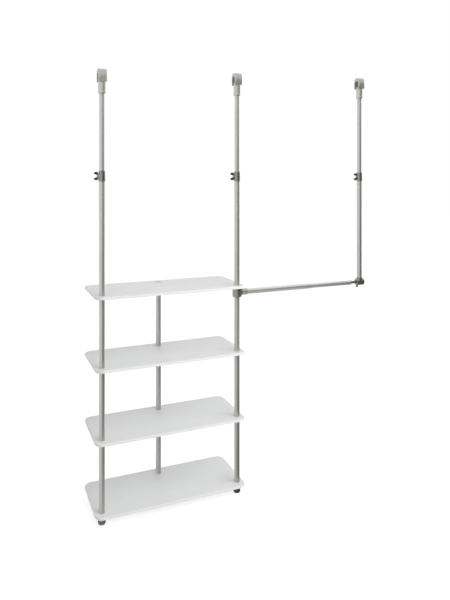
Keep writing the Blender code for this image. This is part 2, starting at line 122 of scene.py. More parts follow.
def add_node(tree, kind, values=None, links=None, **settings):
    """A new node with its settings, its own input values and the outputs that feed its inputs."""
    made = tree.nodes.new(kind)
    for name, value in settings.items():
        setattr(made, name, value)
    for socket, value in (values or {}).items():
        made.inputs[socket].default_value = value
    for socket, source in (links or {}).items():
        tree.links.new(source, made.inputs[socket])
    return made


def new_finish(name, metallic):
    """An empty surface finish: its material, its nodes, its shader and the coordinates on a piece."""
    finish = bpy.data.materials.new(name)
    finish.use_nodes = True
    tree = finish.node_tree
    shader = tree.nodes["Principled BSDF"]
    shader.inputs["Metallic"].default_value = metallic
    where = add_node(tree, "ShaderNodeTexCoord").outputs["Object"]
    return finish, tree, shader, where


def noise(tree, where, size, detail=EVEN):
    """A pattern of soft patches, each about a size across."""
    values = {"Scale": 1 / size, "Detail": detail}
    return add_node(tree, "ShaderNodeTexNoise", values, {"Vector": where}).outputs["Fac"]


def streaks(tree, where, run, line, detail=EVEN):
    """A pattern of fine lines round Z, each about a run long and a line high."""
    scale = (1 / run, 1 / run, 1 / line)
    drawn_out = add_node(tree, "ShaderNodeMapping", {"Scale": scale}, {"Vector": where})
    return noise(tree, drawn_out.outputs["Vector"], 1.0, detail)


def blend(tree, share, first, second):
    """A colour that goes from the first of two to the second as a share grows."""
    colours = {MIX_FIRST: linear(first), MIX_SECOND: linear(second)}
    mix = add_node(tree, "ShaderNodeMix", colours, {MIX_SHARE: share}, data_type="RGBA")
    return mix.outputs[MIX_RESULT]


def shade(tree, shader, tones, drift, roughness, texture, relief=None):
    """Drifts a finish between two tones, lets a texture set its gloss and relief, and returns the tone."""
    tone = blend(tree, drift, *tones)
    gloss = add_node(
        tree, "ShaderNodeMapRange", {"To Min": roughness[0], "To Max": roughness[1]}, {"Value": texture}
    )
    tree.links.new(tone, shader.inputs["Base Color"])
    tree.links.new(gloss.outputs["Result"], shader.inputs["Roughness"])
    if relief:
        bump = add_node(tree, "ShaderNodeBump", relief, {"Height": texture})
        tree.links.new(bump.outputs["Normal"], shader.inputs["Normal"])
    return tone


def rounded(corners, closed=False):
    """Points of an outline in which each corner, an (x, y, radius), is rounded by an arc."""
    points = []
    for i, (x, y, radius) in enumerate(corners):
        corner = Vector((x, y))
        if not radius or (not closed and i in (0, len(corners) - 1)):
            points.append(corner)
            continue
        before = (Vector(corners[i - 1][:2]) - corner).normalized()
        after = (Vector(corners[(i + 1) % len(corners)][:2]) - corner).normalized()
        half = before.angle(after) / 2
        centre = corner + (before + after).normalized() * radius / math.sin(half)
        reach = radius / math.tan(half)
        start = corner + before * reach - centre
        end = corner + after * reach - centre
        for step in range(ARC_STEPS + 1):
            spoke = start.slerp(end, step / ARC_STEPS).normalized()
            points.append(centre + spoke * radius)
    return points


def as_mesh(shape):
    """The mesh of a bmesh, facing out, with soft shading and sharp creases."""
    bmesh.ops.remove_doubles(shape, verts=shape.verts, dist=WELD)
    bmesh.ops.recalc_face_normals(shape, faces=shape.faces)
    mesh = bpy.data.meshes.new("shape")
    shape.to_mesh(mesh)
    shape.free()
    mesh.shade_smooth()
    mesh.set_sharp_from_angle(angle=CREASE)
    return mesh


def turned(profile, sides=SIDES):
    """A mesh turned about Z from (radius, height) points. A profile that starts off the axis has a bore."""
    shape = bmesh.new()
    points = [shape.verts.new((radius, 0, height)) for radius, height in profile]
    ends = points[1:] + points[:1] if profile[0][0] > 0 else points[1:]
    edges = [shape.edges.new(pair) for pair in zip(points, ends)]
    axis = Vector((0, 0, 1))
    bmesh.ops.spin(
        shape, geom=points + edges, axis=axis, cent=ORIGIN, angle=math.tau, steps=sides, use_merge=True
    )
    return as_mesh(shape)


def cut_in(mesh, depth_at):
    """Presses a turned mesh in towards its axis, by a depth from each point's radius, angle and height."""
    for vertex in mesh.vertices:
        x, y, height = vertex.co
        radius = math.hypot(x, y)
        if radius > WELD:
            share = 1 - depth_at(radius, math.atan2(y, x), height) / radius
            vertex.co = (x * share, y * share, height)
    return mesh


def at(place, turn=ALONG_Z):
    """A place and a turn in degrees about X, Y and Z."""
    angles = Euler([math.radians(a) for a in turn])
    return Matrix.Translation(place) @ angles.to_matrix().to_4x4()


def foot_of(node):
    """The middle of the lower end of a CAD node."""
    low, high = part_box(node)
    return Vector(((low.x + high.x) / 2, (low.y + high.y) / 2, low.z))


def show(node, mesh, place, finish):
    """Puts a mesh in a CAD node's place and on the node's body, with the finish where it has none, and hides
    the node.
    """
    if not mesh.materials:
        mesh.materials.append(finish)
    piece = bpy.data.objects.new(f"{node}_finished", mesh)
    bpy.context.scene.collection.objects.link(piece)
    piece.matrix_world = place
    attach(piece, frame["nodes"][node]["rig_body"])
    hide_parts(node)


slots = {part["node"]: part["material_slot"] for part in frame["record"]["subparts"]}
posts = ("left", "right", "rear")

# Black nickel on turned steel: a dark grey metal with a clear gloss and faint rings left by the lathe, here
# drawn 0.6 mm apart.
LATHE_RING = 0.6 * MM
TURNED_TONES = ("#73716b", "#84827b")
TURNED_ROUGHNESS = (0.12, 0.28)
RING_RELIEF = {"Strength": 0.15, "Distance": 0.05 * MM}
black_nickel, tree, shader, where = new_finish("black_nickel_turned_steel", METAL)
flat = add_node(tree, "ShaderNodeVectorMath", {1: (1, 1, 0)}, {0: where}, operation="MULTIPLY")
spread = add_node(tree, "ShaderNodeVectorMath", None, {0: flat.outputs["Vector"]}, operation="LENGTH")
rings = add_node(
    tree,
    "ShaderNodeTexNoise",
    {"Scale": 1 / LATHE_RING, "Detail": EVEN},
    {"W": spread.outputs["Value"]},
    noise_dimensions="1D",
).outputs["Fac"]
shade(tree, shader, TURNED_TONES, rings, TURNED_ROUGHNESS, rings, RING_RELIEF)

foot_low, foot_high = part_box("foot_left")
foot_radius = (foot_high.x - foot_low.x) / 2
leg_low, leg_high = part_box("leg_left")
tube_radius = (leg_high.x - leg_low.x) / 2
cup_bore = tube_radius + SLIDE_GAP
stem_top = foot_high.z
thread_top = stem_top - STEM_CHAMFER
rows = round((thread_top - FOOT_SEAT) / THREAD_PITCH * THREAD_ROWS)
foot_profile = [(0, stem_top), (STEM_RADIUS - STEM_CHAMFER, stem_top)]
foot_profile += [(STEM_RADIUS, thread_top - (thread_top - FOOT_SEAT) * i / rows) for i in range(rows + 1)]
foot_profile += rounded(
    [
        (STEM_RADIUS, FOOT_SEAT, 0),
        (cup_bore, FOOT_SEAT, CUP_FILLET),
        (cup_bore, FOOT_HEIGHT, CUP_FILLET),
        (foot_radius, FOOT_HEIGHT, FOOT_RIM),
        (foot_radius, 0, FOOT_BOWL),
        (0, 0, 0),
    ]
)


def thread_depth(radius, angle, height):
    """A helical groove on the stem only."""
    if radius > STEM_RADIUS + WELD or height <= FOOT_SEAT:
        return 0
    turn = (height / THREAD_PITCH - angle / math.tau) % 1
    return THREAD_DEPTH * abs(2 * turn - 1)


foot_mesh = cut_in(turned(foot_profile), thread_depth)
for post in posts:
    show(f"foot_{post}", foot_mesh, at(foot_of(f"foot_{post}")), black_nickel)

# Legs: short spacers cut from the post tube, closed by a pressed-in plug that takes the foot's thread.
# They are steel tube, belt-polished and nickel plated.
STUD_HOLE = 4.3 * MM
TUBE_RIM = 0.4 * MM

# Plated, belt-polished tube: a silver metal whose fine rings round the tube blur reflections along it. The
# rings are drawn 0.5 mm apart and 14 mm long so that they show close up, and the plating drifts a little in
# tone every 90 mm or so. The posts' nickel is warm and satin.
POLISH_LINE = 0.5 * MM
POLISH_LENGTH = 14 * MM
POLISH_ROUGHNESS = (0.36, 0.44)
POLISH_RELIEF = {"Strength": 0.05, "Distance": 0.02 * MM}
POLISH_STRETCH = 0.9
QUARTER_TURN = 0.25
TONE_DRIFT = 90 * MM
SATIN_TONES = ("#c7c9c1", "#cfd1ca")


def polished_tube(name, tones):
    """A plated tube finish between two tones."""
    finish, tree, shader, where = new_finish(name, METAL)
    polish = streaks(tree, where, POLISH_LENGTH, POLISH_LINE, CLOUDY)
    drift = noise(tree, where, TONE_DRIFT)
    shade(tree, shader, tones, drift, POLISH_ROUGHNESS, polish, POLISH_RELIEF)
    shader.inputs["Anisotropic"].default_value = POLISH_STRETCH
    shader.inputs["Anisotropic Rotation"].default_value = QUARTER_TURN
    return finish


satin_nickel = polished_tube("satin_nickel_plate", SATIN_TONES)


def tube(node, wall, along="z"):
    """An open tube as long and as thick as a CAD node, with softened rims, standing on the origin."""
    low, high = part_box(node)
    sizes = high - low
    length = getattr(sizes, along)
    radius = sizes.y / 2
    bore = radius - wall
    corners = ((radius, length), (radius, 0), (bore, 0), (bore, length))
    return turned(rounded([(x, z, TUBE_RIM) for x, z in corners], closed=True))


leg_mesh = tube("leg_left", tube_radius - STUD_HOLE)
for post in posts:
    show(f"leg_{post}", leg_mesh, at(foot_of(f"leg_{post}")), satin_nickel)

# Shelves: particle board faced with white melamine, its rounded edge closed with a thin glued band. Three
# drilled holes take the studs that clamp each board between the posts.
SHELF_CORNER = 34 * MM
SHELF_EDGE = 1.5 * MM
EDGE_STEPS = 4
DRILL_SIDES = 24
FLAT_SHARE = 0.8

# Melamine facing: a hard white paper laminate pressed against a fine pebbled plate, so its satin gloss
# breaks up at about 0.9 mm, with a faint cloudiness of the board below.
PEBBLE = 0.9 * MM
PEBBLE_RELIEF = {"Strength": 0.10, "Distance": 0.06 * MM}
CLOUD = 160 * MM
MELAMINE_TONES = ("#e6e8e7", "#f0f1f0")
MELAMINE_ROUGHNESS = (0.36, 0.50)
melamine, tree, shader, where = new_finish("white_melamine_facing", NOT_METAL)
pebble = noise(tree, where, PEBBLE)
cloud = noise(tree, where, CLOUD, CLOUDY)
shade(tree, shader, MELAMINE_TONES, cloud, MELAMINE_ROUGHNESS, pebble, PEBBLE_RELIEF)

# Edge band: extruded white plastic strip, whiter and glossier than the facing, with faint lines along it.
BAND_LINE = 1.2 * MM
BAND_RUN = 60 * MM
BAND_TONES = ("#eeeeee", "#f6f6f6")
BAND_ROUGHNESS = (0.28, 0.40)
edge_band, tree, shader, where = new_finish("white_plastic_edge_band", NOT_METAL)
lines = streaks(tree, where, BAND_RUN, BAND_LINE)
shade(tree, shader, BAND_TONES, lines, BAND_ROUGHNESS, lines)


def board_outline(length, depth, corner):
    """A rectangle about the origin with rounded corners."""
    x = length / 2
    y = depth / 2
    return rounded([(x, y, corner), (-x, y, corner), (-x, -y, corner), (x, -y, corner)], closed=True)


def slab(outline, thickness, edge=0.0):
    """A flat outline in XY given a thickness about z = 0, with rounded edges where asked."""
    shape = bmesh.new()
    face = shape.faces.new([shape.verts.new((x, y, -thickness / 2)) for x, y in outline])
    raised = bmesh.ops.extrude_face_region(shape, geom=[face])["geom"]
    risen = [part for part in raised if isinstance(part, bmesh.types.BMVert)]
    bmesh.ops.translate(shape, verts=risen, vec=(0, 0, thickness))
    if edge:
        rims = [line for line in shape.edges if line.verts[0].co.z * line.verts[1].co.z > 0]
        bmesh.ops.bevel(
            shape, geom=rims, offset=edge, segments=EDGE_STEPS, profile=0.5, affect="EDGES"
        )
    return as_mesh(shape)


def rod(radius, low, high, sides=SIDES):
    """A plain round bar about Z."""
    return turned([(0, high), (radius, high), (radius, low), (0, low)], sides)


def helper(mesh, place):
    """An object that only shapes a piece."""
    tool = bpy.data.objects.new("helper", mesh)
    tool.matrix_world = place
    bpy.context.scene.collection.objects.link(tool)
    return tool


def worked(base, steps, softening=()):
    """The base mesh after Booleans, each an (operation, mesh, place), and other modifiers."""
    whole = helper(base, Matrix())
    tools = [helper(mesh, place) for _, mesh, place in steps]
    for (operation, _, _), tool in zip(steps, tools):
        boolean = whole.modifiers.new("join", "BOOLEAN")
        boolean.operation = operation
        boolean.object = tool
    for kind, values in softening:
        modifier = whole.modifiers.new("soften", kind)
        for name, value in values.items():
            setattr(modifier, name, value)
    bpy.context.view_layer.update()
    graph = bpy.context.evaluated_depsgraph_get()
    mesh = bpy.data.meshes.new_from_object(whole.evaluated_get(graph))
    for spent in (whole, *tools):
        bpy.data.objects.remove(spent, do_unlink=True)
    shape = bmesh.new()
    shape.from_mesh(mesh)
    bpy.data.meshes.remove(mesh)
    return as_mesh(shape)


def two_finishes(mesh, main, other, is_other):
    """Gives a mesh its main finish, and another one on the faces that a test picks."""
    mesh.materials.append(main)
    mesh.materials.append(other)
    for face in mesh.polygons:
        face.material_index = int(is_other(face))


def middle_of(node):
    """The middle of a CAD node's box."""
    low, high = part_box(node)
    return (low + high) / 2


shelf_low, shelf_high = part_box("shelf_bottom")
shelf_size = shelf_high - shelf_low
shelf_middle = middle_of("shelf_bottom")
drill = rod(STUD_HOLE, -shelf_size.z, shelf_size.z, DRILL_SIDES)
drilled = []
for post in posts:
    offset = foot_of(f"foot_{post}") - shelf_middle
    drilled.append(("DIFFERENCE", drill, at((offset.x, offset.y, 0))))
board = slab(board_outline(shelf_size.x, shelf_size.y, SHELF_CORNER), shelf_size.z, SHELF_EDGE)
board = worked(board, drilled)
two_finishes(board, melamine, edge_band, lambda face: abs(face.normal.z) < FLAT_SHARE)
for level in ("bottom", "lower", "upper", "top"):
    show(f"shelf_{level}", board, at(middle_of(f"shelf_{level}")), melamine)

# Posts: nine lengths of the same tube, each with a threaded plug pressed into both ends and drawn tight
# against the shelves by the studs.
TUBE_WALL = 1.2 * MM
PLUG_LENGTH = 14 * MM
tube_bore = tube_radius - TUBE_WALL


def plugged_tube(length, top_plug):
    """A tube with a plug drilled for the stud at its foot and, where asked, one at its top."""
    corners = [
        (tube_radius, length, TUBE_RIM),
        (tube_radius, 0, TUBE_RIM),
        (STUD_HOLE, 0, TUBE_RIM),
        (STUD_HOLE, PLUG_LENGTH, 0),
        (tube_bore, PLUG_LENGTH, 0),
    ]
    if top_plug:
        corners += [
            (tube_bore, length - PLUG_LENGTH, 0),
            (STUD_HOLE, length - PLUG_LENGTH, 0),
            (STUD_HOLE, length, TUBE_RIM),
        ]
    else:
        corners.append((tube_bore, length, TUBE_RIM))
    return turned(rounded(corners, closed=True))


post_low, post_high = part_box("post_left_low")
post_mesh = plugged_tube(post_high.z - post_low.z, True)
for post in posts:
    for level in ("low", "mid", "high"):
        node = f"post_{post}_{level}"
        show(node, post_mesh, at(foot_of(node)), satin_nickel)

# Joining studs: zinc-plated threaded rod through the shelf holes, hidden once the posts are drawn tight.
# The CAD pieces stay and take the plating's look: bluish silver with a fine crystalline bloom.
BLOOM = 1.5 * MM
ZINC_TONES = ("#b3b7bb", "#c8cbcd")
ZINC_ROUGHNESS = (0.30, 0.45)
zinc_plate, tree, shader, where = new_finish("bright_zinc_plated_steel", METAL)
bloom = add_node(tree, "ShaderNodeTexVoronoi", {"Scale": 1 / BLOOM}, {"Vector": where}).outputs["Distance"]
shade(tree, shader, ZINC_TONES, bloom, ZINC_ROUGHNESS, bloom)


def coat(slot, finish):
    """Gives each CAD piece of a material slot its finish."""
    for node, own_slot in slots.items():
        if own_slot == slot:
            frame["nodes"][node].data.materials[0] = finish


coat("zinc_steel", zinc_plate)

# Cap screw: a turned, nickel-plated button head that closes the rear post on the top shelf. Its shank
# goes through the board into the post's plug.
CAP_EDGE = 0.5 * MM
CAP_SEAT = 0.3 * MM
DOME_RADIUS = 36 * MM
DOME_STEPS = 12


def dome_drop(reach):
    """How far the domed head has fallen at a distance from its axis."""
    return DOME_RADIUS - math.sqrt(DOME_RADIUS**2 - reach**2)


cap_low, cap_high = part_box("cap_screw_rear")
cap_base = shelf_high.z - shelf_low.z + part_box("shelf_top")[0].z + CAP_SEAT
cap_radius = (cap_high.x - cap_low.x) / 2
cap_rise = cap_high.z - cap_base
shank_end = cap_low.z - cap_base
dome_reach = cap_radius - CAP_EDGE
cap_profile = []
for step in range(DOME_STEPS + 1):
    reach = dome_reach * step / DOME_STEPS
    cap_profile.append((reach, cap_rise - dome_drop(reach)))
cap_profile += [(cap_radius, cap_rise - dome_drop(dome_reach) - CAP_EDGE), (cap_radius, 0)]
cap_profile += [(STEM_RADIUS, 0), (STEM_RADIUS, shank_end), (0, shank_end)]
cap_place = foot_of("cap_screw_rear")
cap_place.z = cap_base
show("cap_screw_rear", turned(cap_profile), at(cap_place), satin_nickel)

# Outer mast tubes: the same polished tube. The two over the shelves have a threaded plug at the foot, and
# the hanger's is open and stands in the tee.
masts = ("left", "right", "hanger")
mast_low, mast_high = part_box("mast_tube_left")
mast_mesh = plugged_tube(mast_high.z - mast_low.z, False)
for mast in ("left", "right"):
    show(f"mast_tube_{mast}", mast_mesh, at(foot_of(f"mast_tube_{mast}")), satin_nickel)
show("mast_tube_hanger", tube("mast_tube_hanger", TUBE_WALL), at(foot_of("mast_tube_hanger")), satin_nickel)

# Lock collars: moulded sleeves pressed over the end of the outer tube, with a boss for the wing screw.
# They are plastic, plated to go with the tubes.
SEAT_GAP = 0.3 * MM
COLLAR_GRIP = 18 * MM
COLLAR_HEAD = 28 * MM
COLLAR_TAPER = 0.7 * MM
COLLAR_ROUND = 1.4 * MM
COLLAR_LEAD = 1.0 * MM
SCREW_RISE = 5.0 * MM
SCREW_HOLE = 3.3 * MM
BOSS_RADIUS = 7.2 * MM
BOSS_FLARE = 0.8 * MM
BOSS_PROUD = 1.0 * MM
BOSS_ROUND = 0.5 * MM
FINE_VOXEL = 0.45 * MM
EDGE_PASSES = 4
SMOOTH_STEP = 0.5
KEPT_FACES = 0.35
TO_LEFT = (0, -90, 0)

# Nickel-plated ABS: the moulding's slight grain, about 0.7 mm, shows through the thin bright layer, which
# wears a little lighter on the edges. The hollows take a darker tone, a painted shade.
MOULD_GRAIN = 0.7 * MM
MOULD_RELIEF = {"Strength": 0.08, "Distance": 0.04 * MM}
HANDLING = 9 * MM
HAZE_SPREAD = 0.14
# Painted shade and wear: below the bend range the hollows take the first, darker tone, a painted shade, and
# above it the worn edges take the second, lighter one.
SHADE_AND_WEAR_SHARE = 0.4
SHADE_AND_WEAR_BEND = {"From Min": 0.44, "From Max": 0.58}
DARK_TONES = ("#8a8882", "#a9a7a0")
DARK_SHADE_AND_WEAR = ("#5a5853", "#bab8b0")
DARK_HAZE = 0.22


def edges_of(tree, bend_range):
    """A share that grows from the hollows of a piece to its edges, over a range of bends."""
    bend = add_node(tree, "ShaderNodeNewGeometry").outputs["Pointiness"]
    return add_node(tree, "ShaderNodeMapRange", bend_range, {"Value": bend}).outputs["Result"]


def plated_abs(name, tones, shade_and_wear_tones, haze):
    """A nickel-plated moulding between two tones, with painted shade in its hollows and lighter worn edges.
    """
    finish, tree, shader, where = new_finish(name, METAL)
    grain = noise(tree, where, MOULD_GRAIN)
    handling = noise(tree, where, HANDLING, CLOUDY)
    plating = shade(tree, shader, tones, handling, (haze, haze + HAZE_SPREAD), handling)
    # Painted shade in the hollows, lighter wear on the edges.
    shade_and_wear = blend(tree, edges_of(tree, SHADE_AND_WEAR_BEND), *shade_and_wear_tones)
    colour = add_node(
        tree, "ShaderNodeMix", {MIX_SHARE: SHADE_AND_WEAR_SHARE}, {MIX_FIRST: plating, MIX_SECOND: shade_and_wear}, data_type="RGBA"
    )
    relief = add_node(tree, "ShaderNodeBump", MOULD_RELIEF, {"Height": grain})
    tree.links.new(colour.outputs[MIX_RESULT], shader.inputs["Base Color"])
    tree.links.new(relief.outputs["Normal"], shader.inputs["Normal"])
    return finish


dark_plated = plated_abs("dark_nickel_plated_abs", DARK_TONES, DARK_SHADE_AND_WEAR, DARK_HAZE)


def moulded(base, steps, voxel, passes):
    """A moulded body: its solids joined and cut, then every edge and inside corner rolled off."""
    return worked(
        base,
        steps,
        (
            ("REMESH", {"mode": "VOXEL", "voxel_size": voxel}),
            ("SMOOTH", {"factor": SMOOTH_STEP, "iterations": passes}),
            ("DECIMATE", {"ratio": KEPT_FACES}),
        ),
    )


collar_low, collar_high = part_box("collar_left")
collar_radius = (collar_high.y - collar_low.y) / 2
inner_low, inner_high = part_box("inner_tube_left")
inner_radius = (inner_high.x - inner_low.x) / 2
inner_fit = inner_radius + SEAT_GAP
tube_fit = tube_radius + SEAT_GAP
collar_body = turned(
    rounded(
        [
            (0, COLLAR_HEAD, 0),
            (collar_radius - COLLAR_TAPER, COLLAR_HEAD, COLLAR_ROUND),
            (collar_radius, 0, 0),
            (collar_radius, -COLLAR_GRIP, COLLAR_ROUND),
            (0, -COLLAR_GRIP, 0),
        ]
    )
)
collar_bore = turned(
    [
        (0, 2 * COLLAR_HEAD),
        (inner_fit + COLLAR_LEAD + COLLAR_HEAD, 2 * COLLAR_HEAD),
        (inner_fit, COLLAR_HEAD - COLLAR_LEAD),
        (inner_fit, SEAT_GAP),
        (tube_fit, SEAT_GAP),
        (tube_fit, -2 * COLLAR_GRIP),
        (0, -2 * COLLAR_GRIP),
    ]
)
boss_end = collar_radius + BOSS_PROUD
boss = turned(
    rounded(
        [
            (0, boss_end, 0),
            (BOSS_RADIUS, boss_end, BOSS_ROUND),
            (BOSS_RADIUS, collar_radius - BOSS_PROUD, BOSS_FLARE),
            (BOSS_RADIUS + BOSS_FLARE, inner_radius, 0),
            (0, inner_radius, 0),
        ]
    )
)
to_screw = at((0, 0, SCREW_RISE), TO_LEFT)
collar_mesh = moulded(
    collar_body,
    (
        ("UNION", boss, to_screw),
        ("DIFFERENCE", collar_bore, Matrix()),
        ("DIFFERENCE", rod(SCREW_HOLE, 0, 2 * collar_radius), to_screw),
    ),
    FINE_VOXEL,
    EDGE_PASSES,
)
mast_axes = {mast: foot_of(f"inner_tube_{mast}") for mast in masts}
mast_top = mast_high.z
for mast in masts:
    axis = mast_axes[mast]
    show(f"collar_{mast}", collar_mesh, at((axis.x, axis.y, mast_top)), dark_plated)

# Wing screws: die-cast zinc wings on a turned, satin-plated hub and shank that bears on the inner tube. The
# wings' black nickel makes them the darkest pieces on the masts.
SCREW_RADIUS = 3.0 * MM
HUB_RADIUS = 5.2 * MM
HUB_CROWN = 4.2 * MM
HUB_LENGTH = 6.0 * MM
HUB_ROUND = 1.5 * MM
WING_SPAN = 35.6 * MM
WING_REACH = 12 * MM
WING_LOBE = 5.5 * MM
WING_THICK = 3.0 * MM
ROUND_PASSES = 5
TO_FRONT = (90, 0, 0)
TO_FRONT_TURNED = (90, 0, 180)

# Black nickel over die-cast zinc: softer than the turned feet, with the casting's fine orange peel at
# about 1 mm and bright rubbed edges.
PEEL = 1.0 * MM
PEEL_RELIEF = {"Strength": 0.10, "Distance": 0.05 * MM}
CAST_TONES = ("#5b5953", "#86847d")
CAST_ROUGHNESS = (0.26, 0.44)
RUBBED_BEND = {"From Min": 0.50, "From Max": 0.62}
cast_nickel, tree, shader, where = new_finish("black_nickel_cast_zinc", METAL)
peel = noise(tree, where, PEEL)
shade(tree, shader, CAST_TONES, edges_of(tree, RUBBED_BEND), CAST_ROUGHNESS, peel, PEEL_RELIEF)


def arc(centre, radius, start, end, steps=SIDES // 2):
    """Points along an arc, from one angle to another."""
    angles = [start + (end - start) * i / steps for i in range(steps + 1)]
    return [(centre[0] + radius * math.cos(a), centre[1] + radius * math.sin(a)) for a in angles]


def link(*circles):
    """A plate as thick as the wings, drawn tight round some (x, z, radius) circles."""
    points = []
    for x, z, radius in circles:
        points += arc((x, z), radius, 0, math.tau)
    return slab([points[i] for i in convex_hull_2d(points)], WING_THICK)


wing_base = boss_end + SEAT_GAP
hub_end = wing_base + HUB_LENGTH
wing_tip = hub_end + WING_REACH
shank_tip = inner_radius + SLIDE_GAP
lobe_x = WING_SPAN / 2 - WING_LOBE
root = (0, wing_base + HUB_LENGTH / 2, HUB_LENGTH / 2)
lobe_base = (lobe_x, wing_base + WING_LOBE, WING_LOBE)
lobe_tip = (lobe_x, wing_tip - WING_LOBE, WING_LOBE)
wing = worked(link(root, lobe_base), (("UNION", link(lobe_base, lobe_tip), Matrix()),))
hub = turned(
    rounded(
        [
            (0, hub_end, 0),
            (HUB_CROWN, hub_end, HUB_ROUND),
            (HUB_RADIUS, wing_base, 0),
            (SCREW_RADIUS, wing_base, 0),
            (SCREW_RADIUS, shank_tip, 0),
            (0, shank_tip, 0),
        ]
    )
)
wing_mesh = moulded(
    hub,
    (("UNION", wing, at(ORIGIN, TO_FRONT)), ("UNION", wing, at(ORIGIN, TO_FRONT_TURNED))),
    FINE_VOXEL,
    ROUND_PASSES,
)
hub_half = lobe_x - WING_LOBE
two_finishes(wing_mesh, cast_nickel, satin_nickel, lambda face: abs(face.center.x) < hub_half)
for mast in masts:
    axis = mast_axes[mast]
    show(f"wing_screw_{mast}", wing_mesh, at((axis.x, axis.y, mast_top + SCREW_RISE), TO_LEFT), cast_nickel)

# Inner mast tubes: thinner polished tube that slides in the outer one. A grey nylon bush, which stays the
# CAD piece, guides its lower end.
INNER_WALL = 1.0 * MM
inner_mesh = tube("inner_tube_left", INNER_WALL)
for mast in masts:
    show(f"inner_tube_{mast}", inner_mesh, at(mast_axes[mast]), satin_nickel)

# Grey nylon: matt moulded plastic with a soft, greasy unevenness at about 2 mm.
NYLON_GRAIN = 2.0 * MM
NYLON_TONES = ("#8b8b89", "#989896")
NYLON_ROUGHNESS = (0.45, 0.60)
nylon, tree, shader, where = new_finish("grey_moulded_nylon", NOT_METAL)
grain = noise(tree, where, NYLON_GRAIN)
shade(tree, shader, NYLON_TONES, grain, NYLON_ROUGHNESS, grain)
coat("grey_nylon", nylon)

# Rod clips: a plated clip drops over the closet rod and snaps on to a plated socket with two beads. Its
# crown narrows to a flat top, and the socket is pressed on the inner tube. The clip's plating is duller.
ROD_RADIUS = 16 * MM
ROD_RISE = 17 * MM
CLIP_WALL = 6.2 * MM
CLIP_WIDTH = 40 * MM
CLIP_DRAFT = 0.91
CLIP_CORNER = 8.0 * MM
CLIP_SKIRT = 23.5 * MM
CLIP_FOOT = 2.0 * MM
CROWN_RISE = 32 * MM
CROWN_FLAT = 18 * MM
BLANK_HEIGHT = 3 * CROWN_RISE
BEAD = 1.2 * MM
BLOCK_WIDTH = 33 * MM
BLOCK_CORNER = 4.0 * MM
SOCKET_WALL = 4.4 * MM
SOCKET_HEIGHT = 55 * MM
SOCKET_TOP = 7.0 * MM
SOCKET_FLARE = 0.6 * MM
SOCKET_BAND = 4.0 * MM
CLIP_VOXEL = 0.6 * MM
SIDE_ON = (90, 0, 90)
PALE_TONES = ("#c6c7be", "#d6d7ce")
# The clips' hollows also take a painted shade, and their edges a lighter wear.
PALE_SHADE_AND_WEAR = ("#989991", "#dddfd6")
PALE_HAZE = 0.36
DULL_HAZE = 0.54
pale_plated = plated_abs("pale_nickel_plated_abs", PALE_TONES, PALE_SHADE_AND_WEAR, PALE_HAZE)
dull_plated = plated_abs("dull_nickel_plated_abs", PALE_TONES, PALE_SHADE_AND_WEAR, DULL_HAZE)

rod_level = SOCKET_HEIGHT + ROD_RISE
clip_bore = ROD_RADIUS + SEAT_GAP
clip_depth = clip_bore + CLIP_WALL
clip_bottom = rod_level - CLIP_SKIRT
bead_level = clip_bottom + 2 * BEAD
crown_turn = math.acos(CROWN_FLAT / 2 / clip_depth)
crown_reach = CROWN_RISE / math.sin(crown_turn)
right_side = [(clip_bore + CLIP_FOOT, clip_bottom)]
for across, up in arc((0, 0), 1, 0, crown_turn):
    right_side.append((clip_depth * across, rod_level + crown_reach * up))
bead_side = [(clip_bore, clip_bottom), (clip_bore - BEAD, clip_bottom + BEAD)]
bead_side += [(clip_bore - BEAD, bead_level), (clip_bore, bead_level + BEAD)]
clip_outline = right_side + [(-x, z) for x, z in reversed(right_side)]
clip_outline += [(-x, z) for x, z in bead_side]
clip_outline += arc((0, rod_level), clip_bore, math.pi, 0)
clip_outline += reversed(bead_side)
clip_profile = slab(clip_outline, 2 * CLIP_WIDTH)
clip_blank = slab(board_outline(CLIP_WIDTH, 2 * clip_depth, CLIP_CORNER), BLANK_HEIGHT)
for vertex in clip_blank.vertices:
    vertex.co.x *= CLIP_DRAFT if vertex.co.z > 0 else 1
to_profile = at((0, 0, -rod_level), SIDE_ON)
clip_mesh = moulded(clip_blank, (("INTERSECT", clip_profile, to_profile),), CLIP_VOXEL, EDGE_PASSES)
clip_mesh.transform(at((0, 0, rod_level)))
socket_radius = inner_fit + SOCKET_WALL
block_top = rod_level - clip_bore
block_bottom = bead_level + BEAD + SEAT_GAP
block_middle = (block_top + block_bottom) / 2
neck_radius = clip_bore - BEAD - SLIDE_GAP
shoulder_level = clip_bottom - SEAT_GAP
socket_body = turned(
    [
        (0, block_middle),
        (neck_radius, block_middle),
        (neck_radius, shoulder_level),
        (socket_radius, shoulder_level),
        (socket_radius, 2 * SOCKET_BAND),
        (socket_radius + SOCKET_FLARE, SOCKET_BAND),
        (socket_radius + SOCKET_FLARE, 0),
        (0, 0),
    ]
)
block_outline = board_outline(BLOCK_WIDTH, 2 * (clip_bore - SEAT_GAP), BLOCK_CORNER)
socket_mesh = moulded(
    socket_body,
    (
        ("UNION", slab(block_outline, block_top - block_bottom), at((0, 0, block_middle))),
        ("DIFFERENCE", rod(inner_fit, -SOCKET_HEIGHT, SOCKET_HEIGHT - SOCKET_TOP), Matrix()),
    ),
    CLIP_VOXEL,
    EDGE_PASSES,
)
for mast in masts:
    axis = mast_axes[mast]
    head_place = at((axis.x, axis.y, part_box(f"rod_socket_{mast}")[0].z))
    show(f"rod_socket_{mast}", socket_mesh, head_place, pale_plated)
    show(f"rod_clip_{mast}", clip_mesh, head_place, dull_plated)

